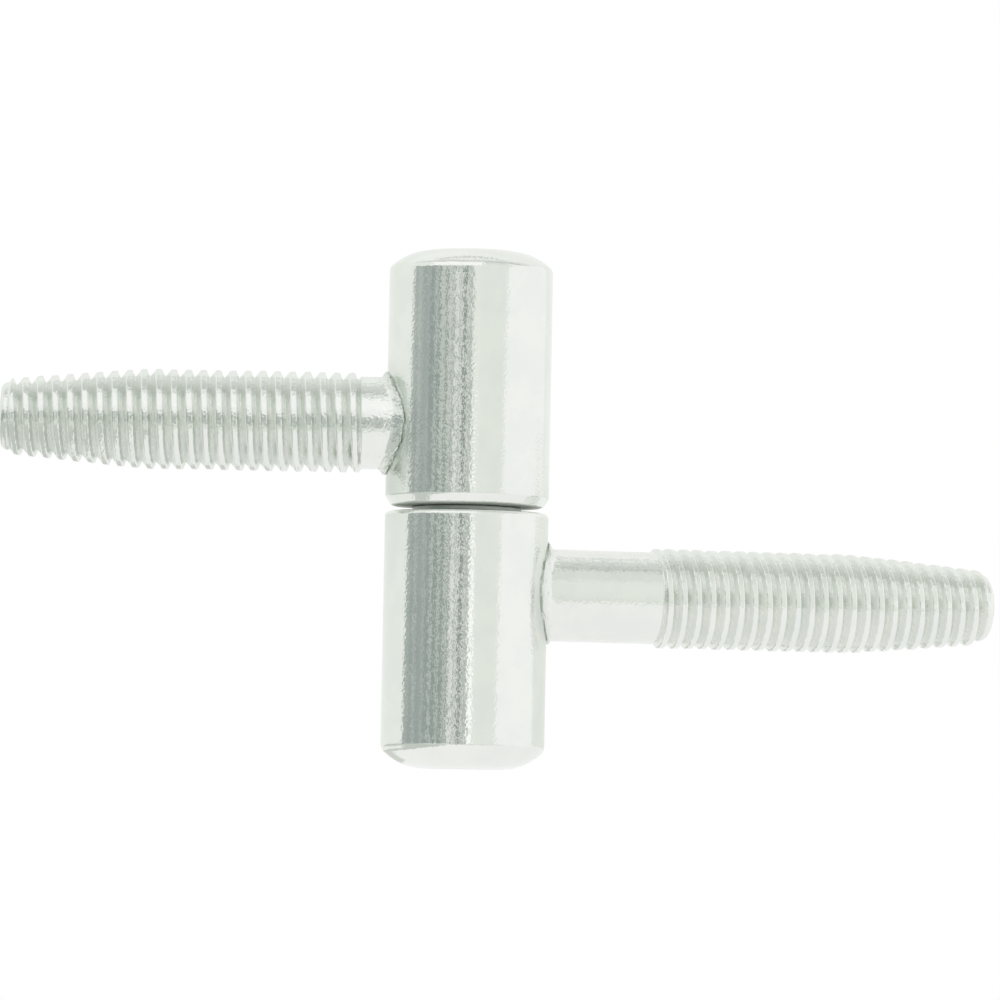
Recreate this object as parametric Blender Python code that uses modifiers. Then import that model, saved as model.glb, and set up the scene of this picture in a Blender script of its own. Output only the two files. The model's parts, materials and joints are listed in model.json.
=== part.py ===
"""Two-part drill-in hinge in zinc-plated steel, with lift-off knuckles.

Each half is a short turned barrel with a threaded shank welded to its side. The lower half screws
into the frame and carries a pressed-in pin and a loose thrust washer. The upper half screws into
the door, drops over the pin and turns on it.

Frame: metres, +Z up along the hinge axis, origin at the centre of the lower knuckle's flat foot,
the lower shank along +X.
"""

import math

import bmesh
import bpy
from mathutils import Matrix, Vector

MM = 0.001

# Knuckles
BARREL_RADIUS = 7.0 * MM
LOWER_KNUCKLE_LENGTH = 21.9 * MM
UPPER_KNUCKLE_LENGTH = 21.9 * MM
CROWN_WIDTH = 3.6 * MM
CROWN_HEIGHT = 1.65 * MM
LOWER_RIM_ROUND = 0.4 * MM
UPPER_RIM_ROUND = 0.75 * MM
FLOOR_UNDER_PIN = 7.0 * MM
ROOF_OVER_BORE = 4.6 * MM
BORE_CHAMFER = 0.5 * MM
DRILL_POINT_ANGLE = math.radians(118)

# Pin and thrust washer
PIN_RADIUS = 3.5 * MM
PIN_NOSE = 1.4 * MM
PIN_FOOT_CHAMFER = 0.4 * MM
PIN_END_CLEARANCE = 1.0 * MM
PRESS_CLEARANCE = 0.02 * MM
RUNNING_CLEARANCE = 0.05 * MM
WASHER_THICKNESS = 0.42 * MM
WASHER_BAND = 1.05 * MM
WASHER_BORE_CLEARANCE = 0.10 * MM
WASHER_FACE_CLEARANCE = 0.04 * MM

# Shanks
LOWER_SHANK_DROP = 7.1 * MM
UPPER_SHANK_RISE = 7.3 * MM
NECK_RADIUS = 3.95 * MM
LOWER_NECK_LENGTH = 9.5 * MM
UPPER_NECK_LENGTH = 2.5 * MM
WELD_CLEARANCE = 0.1 * MM
FLASH_RISE = 0.65 * MM
FLASH_WIDTH = 0.9 * MM
DOOR_SHANK_ANGLE = math.radians(165)

# Thread, right-handed, rolled on the blank of the neck's diameter
CREST_RADIUS = 4.28 * MM
THREAD_DEPTH = 0.59 * MM
THREAD_PITCH = 1.27 * MM
THREAD_LENGTH = 30.5 * MM
THREAD_RUN_OUT = 0.5 * MM
CREST_SHARE = 0.36
TIP_FLANK_SHARE = 0.40
ROOT_SHARE = 0.08
TAPER_LENGTH = 13.0 * MM
TAPER_CURVE = 1.2
TIP_CREST_RADIUS = 3.15 * MM
TIP_ROUND = 0.5 * MM

# Facets
BARREL_SEGMENTS = 48
PIN_SEGMENTS = 32
SHANK_SEGMENTS = 20
CROWN_STEPS = 6
ROUND_STEPS = 3
SADDLE_RINGS = 4
SMOOTH_ANGLE = math.radians(30)
MERGE_DISTANCE = 0.001 * MM

# Heights and radii that follow
GAP = WASHER_THICKNESS + 2 * WASHER_FACE_CLEARANCE
LOWER_TOP = LOWER_KNUCKLE_LENGTH
UPPER_BOTTOM = LOWER_TOP + GAP
UPPER_TOP = UPPER_BOTTOM + UPPER_KNUCKLE_LENGTH
GAP_MIDDLE = LOWER_TOP + GAP / 2
PIN_BOTTOM = FLOOR_UNDER_PIN
BORE_TOP = UPPER_TOP - ROOF_OVER_BORE
PIN_TOP = BORE_TOP - PIN_END_CLEARANCE
SEAT_RADIUS = PIN_RADIUS + PRESS_CLEARANCE
BORE_RADIUS = PIN_RADIUS + RUNNING_CLEARANCE
FLASH_RADIUS = NECK_RADIUS + FLASH_RISE


def clear_scene():
    for obj in list(bpy.data.objects):
        bpy.data.objects.remove(obj, do_unlink=True)


def new_collection(name):
    collection = bpy.data.collections.new(name)
    bpy.context.scene.collection.children.link(collection)
    return collection


def metal(name, colour, roughness):
    material = bpy.data.materials.new(name)
    material.use_nodes = True
    shader = material.node_tree.nodes["Principled BSDF"]
    shader.inputs["Base Color"].default_value = (*colour, 1.0)
    shader.inputs["Metallic"].default_value = 1.0
    shader.inputs["Roughness"].default_value = roughness
    return material


def finished_part(name, mesh, material, collection):
    """An object with smooth round faces and crisp edges, in the part's collection."""
    mesh.shade_smooth()
    mesh.set_sharp_from_angle(angle=SMOOTH_ANGLE)
    mesh.materials.append(material)
    part = bpy.data.objects.new(name, mesh)
    collection.objects.link(part)
    return part


def quarter_round(centre_radius, centre_height, size, first_angle):
    """A quarter circle of the outline, turning clockwise from first_angle, in (radius, height)."""
    angles = [first_angle - math.pi / 2 * i / ROUND_STEPS for i in range(ROUND_STEPS + 1)]
    return [
        (centre_radius + size * math.cos(a), centre_height + size * math.sin(a)) for a in angles
    ]


def crown(end_height, outward):
    """The domed end of a knuckle, from its flat disc out to the crisp edge where the wall begins.

    The arc is tangent to the disc and is CROWN_WIDTH wide and CROWN_HEIGHT high.
    """
    arc_radius = (CROWN_WIDTH**2 + CROWN_HEIGHT**2) / (2 * CROWN_HEIGHT)
    sweep = math.atan2(CROWN_WIDTH, arc_radius - CROWN_HEIGHT)
    disc_radius = BARREL_RADIUS - CROWN_WIDTH
    points = []
    for i in range(CROWN_STEPS + 1):
        angle = sweep * i / CROWN_STEPS
        drop = arc_radius * (1 - math.cos(angle))
        points.append((disc_radius + arc_radius * math.sin(angle), end_height - outward * drop))
    return points


def drill_point(radius):
    return radius / math.tan(DRILL_POINT_ANGLE / 2)


def turned_part(name, outline, segments, closed, material, collection):
    """A body of revolution about Z from an outline of (radius, height) that runs down its outside."""
    edges = [(i, i + 1) for i in range(len(outline) - 1)]
    if closed:
        edges.append((len(outline) - 1, 0))
    profile = bpy.data.meshes.new(name + "_outline")
    profile.from_pydata([(radius, 0.0, height) for radius, height in outline], edges, [])
    blank = bpy.data.objects.new(name + "_blank", profile)
    collection.objects.link(blank)
    turn = blank.modifiers.new("turn", "SCREW")
    turn.axis = "Z"
    turn.angle = math.tau
    turn.steps = segments
    turn.render_steps = segments
    turn.use_merge_vertices = True
    turn.merge_threshold = MERGE_DISTANCE
    graph = bpy.context.evaluated_depsgraph_get()
    mesh = bpy.data.meshes.new_from_object(blank.evaluated_get(graph))
    mesh.name = name
    bpy.data.objects.remove(blank, do_unlink=True)
    return finished_part(name, mesh, material, collection)


def lower_knuckle_outline():
    seat_foot = PIN_BOTTOM - PRESS_CLEARANCE
    rim_centre = (BARREL_RADIUS - LOWER_RIM_ROUND, LOWER_TOP - LOWER_RIM_ROUND)
    return [
        (0.0, seat_foot - drill_point(SEAT_RADIUS)),
        (SEAT_RADIUS, seat_foot),
        (SEAT_RADIUS, LOWER_TOP - BORE_CHAMFER),
        (SEAT_RADIUS + BORE_CHAMFER, LOWER_TOP),
        *quarter_round(*rim_centre, LOWER_RIM_ROUND, math.pi / 2),
        *reversed(crown(0.0, -1)),
        (0.0, 0.0),
    ]


def upper_knuckle_outline():
    rim_centre = (BARREL_RADIUS - UPPER_RIM_ROUND, UPPER_BOTTOM + UPPER_RIM_ROUND)
    return [
        (0.0, UPPER_TOP),
        *crown(UPPER_TOP, 1),
        *quarter_round(*rim_centre, UPPER_RIM_ROUND, 0.0),
        (BORE_RADIUS + BORE_CHAMFER, UPPER_BOTTOM),
        (BORE_RADIUS, UPPER_BOTTOM + BORE_CHAMFER),
        (BORE_RADIUS, BORE_TOP),
        (0.0, BORE_TOP + drill_point(BORE_RADIUS)),
    ]


def pin_outline():
    """The pin's rounded nose, its ground side and the chamfer that leads it into its seat."""
    return [
        (0.0, PIN_TOP),
        *quarter_round(PIN_RADIUS - PIN_NOSE, PIN_TOP - PIN_NOSE, PIN_NOSE, math.pi / 2),
        (PIN_RADIUS, PIN_BOTTOM + PIN_FOOT_CHAMFER),
        (PIN_RADIUS - PIN_FOOT_CHAMFER, PIN_BOTTOM),
        (0.0, PIN_BOTTOM),
    ]


def washer_outline():
    inner = PIN_RADIUS + WASHER_BORE_CLEARANCE
    outer = inner + WASHER_BAND
    bottom = LOWER_TOP + WASHER_FACE_CLEARANCE
    top = bottom + WASHER_THICKNESS
    return [(outer, top), (outer, bottom), (inner, bottom), (inner, top)]


def ring(radius, x):
    """Points on a circle about X."""
    turns = [math.tau * i / SHANK_SEGMENTS for i in range(SHANK_SEGMENTS)]
    return [Vector((x, radius * math.cos(a), radius * math.sin(a))) for a in turns]


def saddle_ring(radius, stand_off):
    """A circle about X as the YZ plane sees it, laid on the barrel and lifted off it by stand_off."""
    points = ring(radius, 0.0)
    for point in points:
        point.x = math.sqrt(BARREL_RADIUS**2 - point.y**2) + stand_off
    return points


def loft(mesh, rings):
    """Skins a run of rings with quads and returns the first and the last ring's vertices."""
    rows = [[mesh.verts.new(point) for point in points] for points in rings]
    for row, following in zip(rows, rows[1:]):
        for i in range(SHANK_SEGMENTS):
            j = (i + 1) % SHANK_SEGMENTS
            mesh.faces.new((row[i], row[j], following[j], following[i]))
    return rows[0], rows[-1]


def add_root(mesh, thread_start):
    """The welded root: a saddle-shaped end face, the bead of weld flash round it and the plain neck."""
    end_face = [
        saddle_ring(FLASH_RADIUS * i / SADDLE_RINGS, WELD_CLEARANCE)
        for i in range(1, SADDLE_RINGS + 1)
    ]
    bead = []
    for i in range(1, ROUND_STEPS + 1):
        angle = math.pi / 2 * i / ROUND_STEPS
        height = NECK_RADIUS + FLASH_RISE * math.cos(angle)
        bead.append(saddle_ring(height, WELD_CLEARANCE + FLASH_WIDTH * math.sin(angle)))
    inner, _ = loft(mesh, [*end_face, *bead, ring(NECK_RADIUS, thread_start)])
    middle = mesh.verts.new((BARREL_RADIUS + WELD_CLEARANCE, 0.0, 0.0))
    for i in range(SHANK_SEGMENTS):
        mesh.faces.new((middle, inner[(i + 1) % SHANK_SEGMENTS], inner[i]))


def smooth_step(share):
    share = min(max(share, 0.0), 1.0)
    return share * share * (3 - 2 * share)


def crest_radius(x, tip):
    """The thread's outer radius, which tapers over TAPER_LENGTH to the tip on a slightly full curve."""
    share = min(max(1 - (tip - x) / TAPER_LENGTH, 0.0), 1.0)
    return CREST_RADIUS - (CREST_RADIUS - TIP_CREST_RADIUS) * share**TAPER_CURVE


def shoulder_radius(end, tip):
    """Where the thread dies out into the rounded tip: half way up the last thread."""
    return crest_radius(end, tip) - THREAD_DEPTH / 2


def add_thread(mesh, start, end, tip):
    """A right-handed thread: one pitch of its outline spun along the helix, then fitted to the shank.

    The flank towards the barrel is steep and the one towards the tip is gentle, so that the shank
    screws in easily and holds against being pulled out.

    The spin makes turns past both ends. Fitting holds each point between the ends, brings it to the
    taper and fades the thread into the neck at the start and into the rounded tip at the end, so the
    turns past an end close up onto its ring.
    """
    crest_start = 1 - ROOT_SHARE - TIP_FLANK_SHARE - CREST_SHARE
    crest_stop = crest_start + CREST_SHARE
    form = [
        (0.0, 0.0),
        (crest_start, 1.0),
        (crest_stop, 1.0),
        (1 - ROOT_SHARE, 0.0),
        (1.0, 0.0),
    ]
    turns = math.ceil((end - start) / THREAD_PITCH) + 2
    first = start - 2 * THREAD_PITCH
    outline = [
        mesh.verts.new((first + share * THREAD_PITCH, 1.0 + height, 0.0)) for share, height in form
    ]
    lines = [mesh.edges.new(pair) for pair in zip(outline, outline[1:])]
    before = set(mesh.verts) - set(outline)
    bmesh.ops.spin(
        mesh,
        geom=outline + lines,
        cent=Vector(),
        axis=Vector((1, 0, 0)),
        dvec=Vector((THREAD_PITCH / SHANK_SEGMENTS, 0, 0)),
        angle=math.tau * turns,
        steps=SHANK_SEGMENTS * turns,
        use_duplicate=False,
    )
    shoulder = shoulder_radius(end, tip)
    for vertex in mesh.verts:
        if vertex in before:
            continue
        x, y, z = vertex.co
        spun = math.hypot(y, z)
        x = min(max(x, start), end)
        radius = crest_radius(x, tip) - THREAD_DEPTH * (2.0 - spun)
        radius = NECK_RADIUS + (radius - NECK_RADIUS) * smooth_step((x - start) / THREAD_RUN_OUT)
        radius = shoulder + (radius - shoulder) * smooth_step((end - x) / THREAD_RUN_OUT)
        vertex.co = (x, y * radius / spun, z * radius / spun)


def add_tip(mesh, end, tip):
    """The rounded tip and its flat end face."""
    shoulder = shoulder_radius(end, tip)
    rings = []
    for i in range(ROUND_STEPS + 1):
        angle = math.pi / 2 * i / ROUND_STEPS
        radius = shoulder - TIP_ROUND * (1 - math.cos(angle))
        rings.append(ring(radius, end + TIP_ROUND * math.sin(angle)))
    _, face = loft(mesh, rings)
    mesh.faces.new(face)


def shank(name, neck_length, height, direction, material, collection):
    """A threaded shank, made along +X from the hinge axis and turned to its direction about it."""
    start = BARREL_RADIUS + neck_length
    tip = start + THREAD_LENGTH
    end = tip - TIP_ROUND
    work = bmesh.new()
    add_root(work, start)
    add_thread(work, start, end, tip)
    add_tip(work, end, tip)
    bmesh.ops.remove_doubles(work, verts=work.verts, dist=MERGE_DISTANCE)
    bmesh.ops.recalc_face_normals(work, faces=work.faces)
    mesh = bpy.data.meshes.new(name)
    work.to_mesh(mesh)
    work.free()
    part = finished_part(name, mesh, material, collection)
    part.matrix_world = Matrix.Translation((0, 0, height)) @ Matrix.Rotation(direction, 4, "Z")
    return part


def main():
    clear_scene()
    hinge = new_collection("drill_in_hinge")
    zinc = metal("zinc_plating", (0.79, 0.82, 0.79), 0.28)
    ground = metal("ground_steel", (0.56, 0.57, 0.58), 0.22)
    pressed = metal("pressed_steel", (0.30, 0.31, 0.32), 0.40)

    turned_part("lower_knuckle", lower_knuckle_outline(), BARREL_SEGMENTS, False, zinc, hinge)
    turned_part("upper_knuckle", upper_knuckle_outline(), BARREL_SEGMENTS, False, zinc, hinge)
    turned_part("hinge_pin", pin_outline(), PIN_SEGMENTS, False, ground, hinge)
    turned_part("thrust_washer", washer_outline(), BARREL_SEGMENTS, True, pressed, hinge)
    shank("lower_shank", LOWER_NECK_LENGTH, GAP_MIDDLE - LOWER_SHANK_DROP, 0.0, zinc, hinge)
    shank(
        "upper_shank",
        UPPER_NECK_LENGTH,
        GAP_MIDDLE + UPPER_SHANK_RISE,
        DOOR_SHANK_ANGLE,
        zinc,
        hinge,
    )


main()
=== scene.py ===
"""Looks of the drill-in hinge: its turned, threaded and plated pieces, and a plain studio for it.

Each piece is a surface worked out on a grid of numbers, in metres, in the frame of the solids:
+Z up along the hinge axis, the origin at the foot of the lower knuckle, the lower shank along +X.
"""

import json
import math

import bpy
import numpy as np
from bpy.props import FloatProperty, FloatVectorProperty, IntProperty, PointerProperty
from bpy.types import Operator, Panel, PropertyGroup
from mathutils import Matrix, Vector


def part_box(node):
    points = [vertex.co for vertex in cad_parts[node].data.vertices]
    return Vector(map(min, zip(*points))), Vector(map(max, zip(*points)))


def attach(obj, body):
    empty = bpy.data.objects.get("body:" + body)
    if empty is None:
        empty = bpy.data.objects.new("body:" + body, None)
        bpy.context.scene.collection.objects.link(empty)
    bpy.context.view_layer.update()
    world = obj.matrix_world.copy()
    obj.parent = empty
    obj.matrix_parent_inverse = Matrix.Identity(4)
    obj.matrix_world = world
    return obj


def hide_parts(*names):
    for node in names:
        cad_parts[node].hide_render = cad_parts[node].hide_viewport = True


bl_info = {
    "name": "Drill-in Hinge",
    "version": (1, 0, 0),
    "blender": (4, 5, 0),
    "location": "View3D > Sidebar > Hinge",
    "description": "Builds the finished pieces of a lift-off drill-in hinge and a studio round them",
    "category": "Add Mesh",
}

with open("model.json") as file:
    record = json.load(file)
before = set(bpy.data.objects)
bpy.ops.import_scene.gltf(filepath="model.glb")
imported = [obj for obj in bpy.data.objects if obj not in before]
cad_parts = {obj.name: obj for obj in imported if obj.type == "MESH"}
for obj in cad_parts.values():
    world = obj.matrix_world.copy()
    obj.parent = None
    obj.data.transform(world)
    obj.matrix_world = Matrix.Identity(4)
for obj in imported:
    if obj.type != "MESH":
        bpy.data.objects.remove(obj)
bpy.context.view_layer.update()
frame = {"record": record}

MM = 0.001
MOUNTS = {mount["name"]: mount for mount in frame["record"]["mounts"]}
LOWER_FOOT, LOWER_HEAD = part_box("lower_knuckle")
UPPER_FOOT, UPPER_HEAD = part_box("upper_knuckle")
PIN_FOOT, PIN_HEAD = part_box("hinge_pin")
WASHER_FOOT, WASHER_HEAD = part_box("thrust_washer")
FRAME_TIP = Vector(MOUNTS["frame_shank_tip"]["pos_m"])
FRAME_THREAD_START = MOUNTS["frame_shank_hold"]["pos_m"][0]
DOOR_TIP = Vector(MOUNTS["door_shank_tip"]["pos_m"])
DOOR_DIRECTION = Vector(MOUNTS["door_shank_tip"]["axis"])
DOOR_BEARING = math.atan2(DOOR_DIRECTION.y, DOOR_DIRECTION.x)
THREAD_LENGTH = FRAME_TIP.x - FRAME_THREAD_START

# The camera looks along this bearing, measured from +Y towards +X.
CAMERA_BEARING = math.radians(15.0)
SHARP_ANGLE = math.radians(35.0)
# Half the angle of the drill point in which each blind hole ends
DRILL_POINT = math.radians(59.0)
# Rows of facets along the straight outside of a barrel
WALL_ROWS = 60


def linear(code, alpha=None):
    """The linear colour of an sRGB hex code, with an alpha if one is asked for."""
    channels = []
    for i in (1, 3, 5):
        value = int(code[i : i + 2], 16) / 255
        channels.append(value / 12.92 if value <= 0.04045 else ((value + 0.055) / 1.055) ** 2.4)
    return tuple(channels) if alpha is None else (*channels, alpha)


def length(name, description, millimetres):
    """A length that a user may change, in metres, with its default given in millimetres."""
    return FloatProperty(
        name=name,
        description=description,
        default=millimetres * MM,
        precision=5,
        unit="LENGTH",
        subtype="DISTANCE",
    )


def colour(name, description, code):
    """A colour that a user may change, with its default given as an sRGB hex code."""
    return FloatVectorProperty(
        name=name,
        description=description,
        default=linear(code),
        size=3,
        min=0.0,
        max=1.0,
        subtype="COLOR",
    )


def factor(name, description, default, top=1.0):
    """A plain number from 0 up that a user may change."""
    return FloatProperty(name=name, description=description, default=default, min=0.0, max=top)


class KnuckleSizes(PropertyGroup):
    """Sizes of the two turned barrels. Their lengths and radius come from the solids."""

    crown_width: length("Crown Width", "From the edge of the flat disc to the wall", 3.6)
    crown_height: length("Crown Height", "How far the domed end drops to the wall", 1.65)
    head_height: length("Head Crown Height", "The same at the upper knuckle's head", 1.5)
    foot_edge: length("Foot Edge", "Rounding where the lower crown and the wall meet", 1.2)
    head_edge: length("Head Edge", "Rounding where the upper crown and the wall meet", 0.7)
    groove: length("Tool Groove", "Depth of the fine turned line just above that edge", 0.012)
    lower_rim: length("Lower Rim", "Rounding of the lower knuckle's bearing end", 0.4)
    upper_rim: length("Upper Rim", "Height of the upper knuckle's bevelled bearing end", 0.95)
    bore_chamfer: length("Bore Chamfer", "Chamfer at the mouth of each bore", 0.5)
    pin_press: length("Pin Press Gap", "Gap between the pin and its seat", 0.02)
    pin_play: length("Pin Play", "Radial play of the pin in the upper knuckle", 0.05)
    roof: length("Roof", "Metal left above the upper knuckle's blind bore", 4.6)
    columns: IntProperty(name="Columns", description="Facets round a barrel", default=256, min=24)


class ShankSizes(PropertyGroup):
    """Sizes of the two threaded shanks. Their lengths and directions come from the mounts."""

    neck_radius: length("Neck Radius", "Plain part between the weld and the thread", 3.95)
    crest_radius: length("Crest Radius", "Outside of the thread", 4.3)
    depth: length("Thread Depth", "From crest to root", 0.59)
    pitch: length("Pitch", "Advance of the thread in one turn", 1.27)
    steep_flank: factor("Steep Flank", "Width of the flank towards the barrel, in pitches", 0.22)
    crest_flat: factor("Crest", "Width of the crest, in pitches", 0.31)
    gentle_flank: factor("Gentle Flank", "Width of the flank towards the tip, in pitches", 0.44)
    run_out: length("Run-out", "Length over which the thread fades at each end", 0.4)
    door_lead: length("Door Thread Lead", "Extra thread on the door shank, towards its weld", 0.5)
    taper: length("Taper Length", "Length of the tapered end", 13.0)
    taper_curve: factor("Taper Curve", "1 is a straight taper and more is a fuller one", 1.2, 3.0)
    tip_crest: length("Tip Radius", "Outside of the thread where the tip begins", 3.17)
    tip_round: length("Tip Rounding", "Rounding of the tip's edge", 0.58)
    flash_rise: length("Flash Rise", "How far the weld flash stands out of the neck", 0.65)
    flash_width: length("Flash Width", "Width of the weld flash along the shank", 0.9)
    flash_sink: length("Weld Depth", "How far the weld is sunk into the barrel", 0.06)
    rows: IntProperty(name="Rows", description="Rows of facets in one pitch", default=28, min=6)
    columns: IntProperty(name="Columns", description="Facets round a shank", default=96, min=16)


class PinSizes(PropertyGroup):
    """Roundings of the pin and of the thrust washer. Their other sizes come from the solids."""

    nose: length("Nose", "Rounding of the pin's upper end", 1.4)
    foot: length("Foot Chamfer", "Chamfer that leads the pin into its seat", 0.4)
    bore: length("Washer Bore", "Radius of the hole in the washer", 3.6)
    edge: length("Washer Edge", "Rounding of the washer's edges", 0.08)
    columns: IntProperty(name="Columns", description="Facets round the pin", default=128, min=16)


class Finish(PropertyGroup):
    """Colours and grain of the metals."""

    zinc: colour("Zinc", "Bright zinc plating", "#F0F2EE")
    zinc_cloud: colour("Zinc Cloud", "The plating's slightly duller, greener clouds", "#ECEFEB")
    # Tint of the painted shade below the shanks and in the thread's roots, and of the darker metal at
    # the welds
    stain: colour("Stain", "Dull plating that ran down below a weld", "#B4BFB7")
    zinc_roughness: factor("Zinc Roughness", "Roughness of the plated barrels", 0.07)
    peel: length("Peel Size", "Size of the low waves in the plating", 1.1)
    peel_height: length("Peel Height", "Height of those waves", 0.012)
    grain: length("Grain Size", "Size of the plating's crystals as they show", 0.23)
    grain_height: length("Grain Height", "Height of those crystals", 0.0125)
    thread_roughness: factor("Thread Roughness", "Roughness of the rolled thread", 0.10)
    ground: colour("Ground Steel", "Pin", "#C4C6C8")
    pressed: colour("Pressed Steel", "Thrust washer", "#B4B8B4")


class Studio(PropertyGroup):
    """Floor, cards, lamp and camera."""

    floor_drop: length("Floor Drop", "How far the floor lies below the hinge", 30.0)
    card_distance: length("Card Distance", "From the hinge axis to the reflector cards", 350.0)
    lamp_radiance: factor("Lamp Radiance", "Brightness of the soft lamp's face", 1.04, 10.0)
    floor_light: factor("Floor Light", "Share of the floor's white that no shadow darkens", 0.8)
    camera_distance: length("Camera Distance", "From the hinge to the lens", 550.0)
    lens: FloatProperty(name="Lens", description="Focal length", default=231.3, unit="CAMERA")


def add_node(tree, kind, settings=None, **inputs):
    """Adds a node with its settings. Each input is named with _ for a space, or in_ and its number.

    An input takes a value, or the output socket that feeds it.
    """
    node = tree.nodes.new(kind)
    for name, value in (settings or {}).items():
        setattr(node, name, value)
    for name, value in inputs.items():
        socket = node.inputs[int(name[3:]) if name.startswith("in_") else name.replace("_", " ")]
        if isinstance(value, bpy.types.NodeSocket):
            tree.links.new(value, socket)
        else:
            socket.default_value = value
    return node


def new_material(name):
    """An empty node material and its tree."""
    material = bpy.data.materials.new(name)
    material.use_nodes = True
    material.node_tree.nodes.clear()
    return material, material.node_tree


def zinc_plating(name, roughness, finish, waviness, rough_spread):
    """Bright electroplated zinc on turned or rolled steel.

    The eye gets a pale, faintly green mirror, broken by low waves like orange peel and by fine
    crystals, with clouds a few millimetres wide where the plating is a little duller. The real
    crystals are too fine to show, so they are drawn as coarse as they need to be. waviness
    multiplies the height of the waves, and its square root multiplies that of the crystals.
    rough_spread is how much rougher the plating gets across the range of the crystals' pattern.
    The weld attribute makes the plating rough and lumpy round a weld, root dulls the thread's roots
    and the bearing ends, and the third mixes in painted shade below each shank and in the thread's
    roots, with darker metal round the welds.
    """
    cloud_size, lump_size, lump_height = 3.5 * MM, 0.55 * MM, 0.11 * MM
    material, tree = new_material(name)
    place = add_node(tree, "ShaderNodeTexCoord").outputs["Object"]
    weld, root, stain = (
        add_node(tree, "ShaderNodeAttribute", {"attribute_name": mark}).outputs["Fac"]
        for mark in ("weld", "root", "stain")
    )
    # Four patterns, each with the real size of its grain and with its fine detail
    cloud, peel, grain, lumps = (
        add_node(
            tree, "ShaderNodeTexNoise", Vector=place, Scale=1 / size, Detail=detail, Roughness=fine
        ).outputs[0]
        for size, detail, fine in (
            (cloud_size, 3.0, 0.6),
            (finish.peel, 2.0, 0.5),
            (finish.grain, 0.6, 0.5),
            (lump_size, 2.0, 0.5),
        )
    )
    # Clouds with soft edges, in which the plating is duller and its waves are full
    patch = add_node(
        tree,
        "ShaderNodeMapRange",
        {"interpolation_type": "SMOOTHSTEP"},
        Value=cloud,
        From_Min=0.38,
        From_Max=0.62,
        To_Min=0.0,
        To_Max=1.0,
    ).outputs[0]
    peel_share = add_node(
        tree, "ShaderNodeMapRange", Value=patch, To_Min=0.35, To_Max=1.0
    ).outputs[0]
    waves = add_node(
        tree, "ShaderNodeBump", Strength=peel_share, Distance=waviness * finish.peel_height, Height=peel
    ).outputs[0]
    crystals = add_node(
        tree,
        "ShaderNodeBump",
        Strength=1.0,
        Distance=math.sqrt(waviness) * finish.grain_height,
        Height=grain,
        Normal=waves,
    ).outputs[0]
    spatter = add_node(
        tree, "ShaderNodeBump", Strength=weld, Distance=lump_height, Height=lumps, Normal=crystals
    ).outputs[0]
    tint = add_node(
        tree,
        "ShaderNodeMix",
        {"data_type": "RGBA"},
        Factor=patch,
        in_6=(*finish.zinc, 1.0),
        in_7=(*finish.zinc_cloud, 1.0),
    ).outputs[2]
    # Painted shade below the shanks and in the thread's roots, and the darker weld metal, tint the
    # plating
    stained = add_node(
        tree,
        "ShaderNodeMix",
        {"data_type": "RGBA"},
        Factor=stain,
        in_6=tint,
        in_7=(*finish.stain, 1.0),
    ).outputs[2]
    # Roots, welds and crystals each add their share of roughness
    rough = roughness
    for mark, share in ((root, 0.12), (weld, 0.06), (grain, rough_spread)):
        rough = add_node(
            tree, "ShaderNodeMath", {"operation": "MULTIPLY_ADD"}, in_0=mark, in_1=share, in_2=rough
        ).outputs[0]
    shader = add_node(
        tree, "ShaderNodeBsdfPrincipled", Base_Color=stained, Metallic=1.0, Roughness=rough
    )
    tree.links.new(spatter, shader.inputs["Normal"])
    add_node(tree, "ShaderNodeOutputMaterial", Surface=shader.outputs[0])
    return material


def worked_steel(name, tone, roughness, scratch, scratch_height):
    """Bare steel that was ground or pressed: fine lines round the axis, and slightly uneven gloss.

    The eye gets a soft sheen that is drawn out along the axis, because the lines run round it.
    """
    blotch_size, squeeze, gloss_spread, dark_share = 1.5 * MM, 12.0, 0.25, 0.82
    material, tree = new_material(name)
    place = add_node(tree, "ShaderNodeTexCoord").outputs["Object"]
    # Squeezed along the axis, the noise becomes lines that run round it
    bands = add_node(
        tree, "ShaderNodeMapping", Vector=place, Scale=(1.0, 1.0, squeeze)
    ).outputs[0]
    lines = add_node(
        tree, "ShaderNodeTexNoise", Vector=bands, Scale=1 / scratch, Detail=3.0, Roughness=0.7
    ).outputs[0]
    blotch = add_node(
        tree, "ShaderNodeTexNoise", Vector=place, Scale=1 / blotch_size, Detail=2.0
    ).outputs[0]
    grooves = add_node(
        tree, "ShaderNodeBump", Strength=1.0, Distance=scratch_height, Height=lines
    ).outputs[0]
    gloss = add_node(
        tree,
        "ShaderNodeMapRange",
        Value=blotch,
        To_Min=roughness * (1 - gloss_spread),
        To_Max=roughness * (1 + gloss_spread),
    ).outputs[0]
    darker = tuple(channel * dark_share for channel in tone)
    tint = add_node(
        tree,
        "ShaderNodeMix",
        {"data_type": "RGBA"},
        Factor=blotch,
        in_6=(*tone, 1.0),
        in_7=(*darker, 1.0),
    ).outputs[2]
    shader = add_node(
        tree,
        "ShaderNodeBsdfPrincipled",
        Base_Color=tint,
        Metallic=1.0,
        Roughness=gloss,
        Normal=grooves,
    )
    add_node(tree, "ShaderNodeOutputMaterial", Surface=shader.outputs[0])
    return material


def smooth_step(share):
    """0 below 0, 1 above 1, and 3 s^2 - 2 s^3 between."""
    share = np.clip(share, 0.0, 1.0)
    return share * share * (3 - 2 * share)


def line(start, stop, steps):
    """Points from start up to but not with stop, closer together near both ends.

    point(i) = start + (stop - start) * (1 - cos(pi i / steps)) / 2.
    """
    share = (1 - np.cos(np.pi * np.arange(steps) / steps)) / 2
    return np.asarray(start) + (np.asarray(stop) - np.asarray(start)) * share[:, None]


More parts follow.
